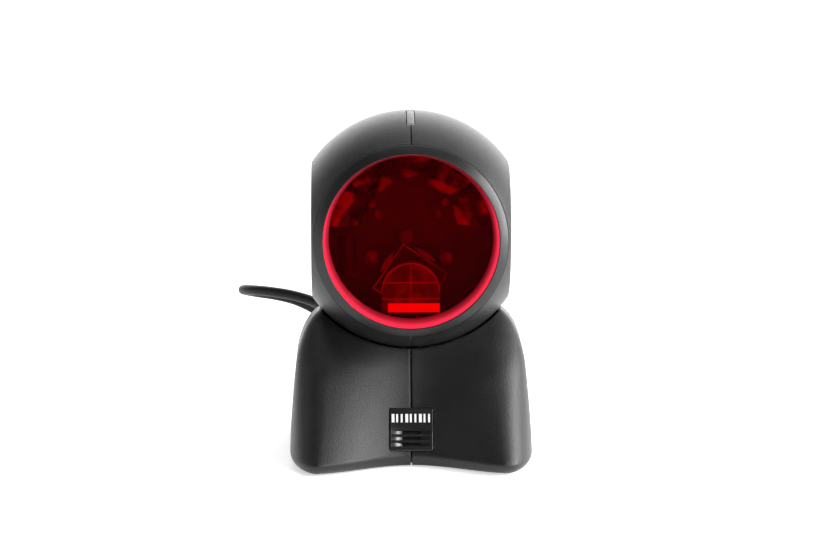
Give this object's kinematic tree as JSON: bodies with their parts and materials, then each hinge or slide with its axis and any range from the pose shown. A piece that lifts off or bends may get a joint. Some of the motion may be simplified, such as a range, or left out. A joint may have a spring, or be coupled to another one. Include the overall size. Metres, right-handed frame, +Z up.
{
  "type": "presentation barcode scanner",
  "caption": "Hands-free barcode scanner: ball-shaped head with a round red window that tilts in a flared stand, spinning mirror inside, lead coiled behind.",
  "frame": {"origin": "on the table, under the middle of the stand", "axes": "+Z up, -Y out of the window, +X to the right seen from the front"},
  "size_m": [0.13, 0.1811, 0.1491],
  "materials": {
    "shell_black": "fine spark-eroded texture",
    "badge_black": "gloss",
    "print_white": "printed",
    "window_red": "polished tinted window",
    "rim_red": "tinted, glows at its edge",
    "light_clear": "frosted",
    "chassis": "matt",
    "mirror": "polished",
    "steel": "zinc plated",
    "brass": "plain",
    "copper": "enamelled wire",
    "board": "solder mask",
    "chip": "moulded",
    "acetal": "self-lubricating",
    "ballast": "as cast",
    "rubber": "matt",
    "cord": "satin jacket",
    "label": "plain foil"
  },
  "bodies": {
    "stand": {"stand_left_shell": "shell_black", "stand_right_shell": "shell_black", "badge": "badge_black", "badge_mark": "print_white", "sounder": "chip", "seat_cradle": "shell_black", "tilt_shoe": "acetal", "tilt_bolt": "steel", "disc_springs": "steel", "tilt_nut": "steel", "ballast": "ballast", "bottom_plate": "shell_black", "stand_screws": "steel", "mount_inserts": "brass", "rubber_feet": "rubber", "blank_label": "label", "interface_board": "board", "board_posts": "brass", "board_screws": "steel", "cord_socket": "chip", "cable_gland": "rubber", "strain_relief": "rubber", "cord_run": "cord", "cord_coil": "cord", "cord_tie": "rubber", "plug_grip": "rubber", "plug_shell": "steel"},
    "head": {"head_left_shell": "shell_black", "head_right_shell": "shell_black", "front_bezel": "shell_black", "scan_window": "window_red", "window_rim": "rim_red", "status_light": "light_clear", "light_board": "board", "optical_chassis": "chassis", "chassis_screws": "steel", "mirror_brackets": "chassis", "pattern_mirrors": "mirror", "laser_module": "brass", "laser_mount": "chassis", "collector_mirror": "chassis", "filter_bar": "rim_red", "photodiode_board": "board", "board_rests": "chassis", "motor_board": "board", "motor_coils": "copper", "motor_bearing": "brass", "main_board": "board", "main_board_posts": "brass", "main_board_screws": "steel", "main_board_chips": "chip"},
    "mirror_wheel": {"motor_shaft": "steel", "motor_rotor": "steel", "polygon_mirror": "mirror"}
  },
  "joints": [
    {"name": "head_tilt", "type": "hinge", "parent": "stand", "child": "head", "pos_m": [0, 0, 0.0975], "axis": [1, 0, 0], "range_deg": [-15, 15]},
    {"name": "mirror_spin", "type": "hinge", "parent": "head", "child": "mirror_wheel", "pos_m": [0, -0.0065, 0.0765], "axis": [0, -1, 0], "continuous": true}
  ]
}
